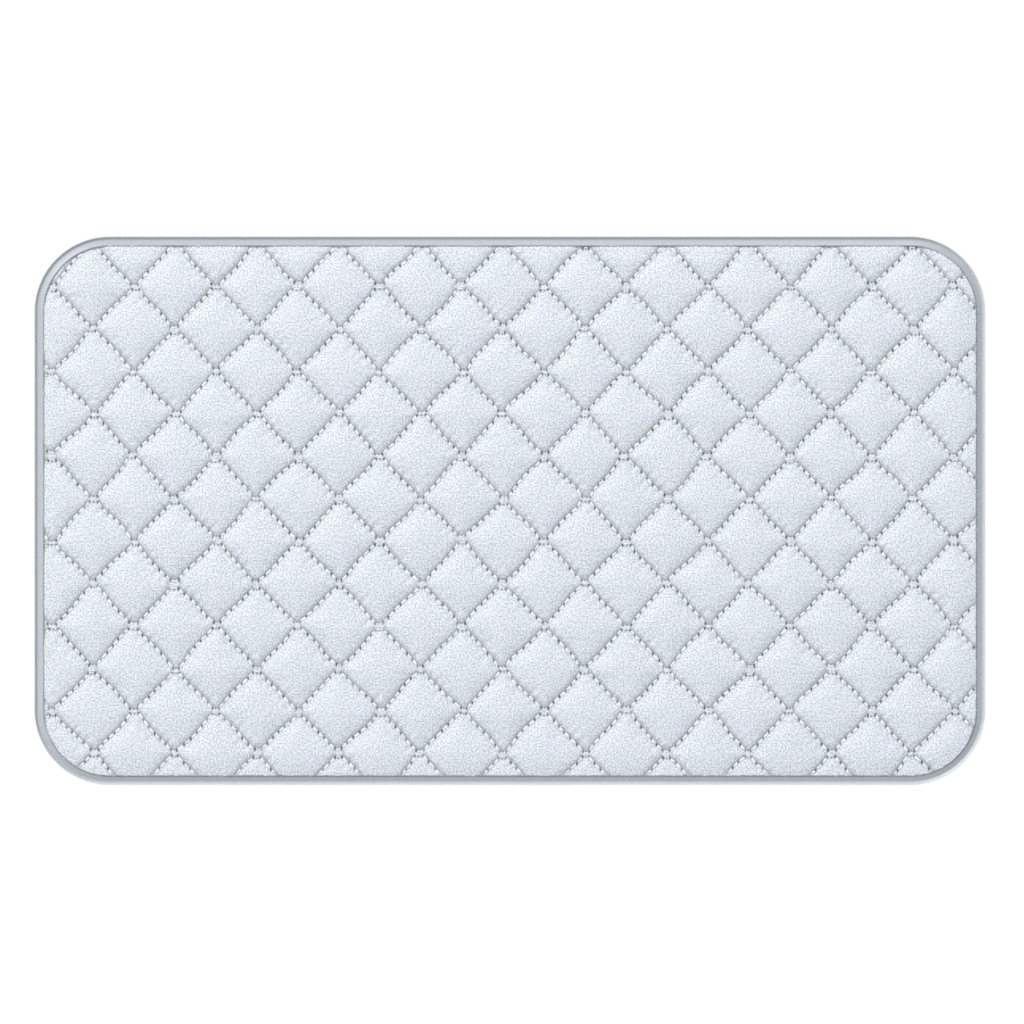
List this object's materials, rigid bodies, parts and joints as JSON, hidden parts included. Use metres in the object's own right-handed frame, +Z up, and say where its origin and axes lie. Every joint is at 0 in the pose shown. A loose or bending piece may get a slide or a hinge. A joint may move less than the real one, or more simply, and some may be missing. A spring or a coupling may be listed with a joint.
{
  "type": "ironing pad",
  "caption": "Flat quilted ironing pad with rounded corners: padded cloth sewn in diamonds and edged with a folded binding, laid on a table to press clothes on.",
  "frame": {"origin": "middle of the underside, on the table", "axes": "+X along the length, +Y along the width, +Z up from the table to the ironing face"},
  "size_m": [0.838, 0.483, 0.0088],
  "materials": {
    "face_cloth": "silver-white coated cotton, fine plain weave",
    "wadding": "white needled polyester wadding",
    "heat_film": "bright metallised film",
    "back_cloth": "plain pale grey cotton",
    "binding": "smooth grey satin tape",
    "binding_thread": "grey twisted polyester sewing thread",
    "quilt_thread": "white twisted polyester sewing thread"
  },
  "bodies": {
    "root": {"face_cloth": "face_cloth", "wadding": "wadding", "heat_film": "heat_film", "back_cloth": "back_cloth", "edge_binding": "binding", "binding_thread_face": "binding_thread", "binding_thread_back": "binding_thread", "needle_thread_01": "quilt_thread", "needle_thread_02": "quilt_thread", "needle_thread_03": "quilt_thread", "needle_thread_04": "quilt_thread", "needle_thread_05": "quilt_thread", "needle_thread_06": "quilt_thread", "needle_thread_07": "quilt_thread", "needle_thread_08": "quilt_thread", "needle_thread_09": "quilt_thread", "needle_thread_10": "quilt_thread", "needle_thread_11": "quilt_thread", "needle_thread_12": "quilt_thread", "needle_thread_13": "quilt_thread", "bobbin_thread_01": "quilt_thread", "bobbin_thread_02": "quilt_thread", "bobbin_thread_03": "quilt_thread", "bobbin_thread_04": "quilt_thread", "bobbin_thread_05": "quilt_thread", "bobbin_thread_06": "quilt_thread", "bobbin_thread_07": "quilt_thread", "bobbin_thread_08": "quilt_thread", "bobbin_thread_09": "quilt_thread", "bobbin_thread_10": "quilt_thread", "bobbin_thread_11": "quilt_thread", "bobbin_thread_12": "quilt_thread", "bobbin_thread_13": "quilt_thread"}
  },
  "joints": []
}
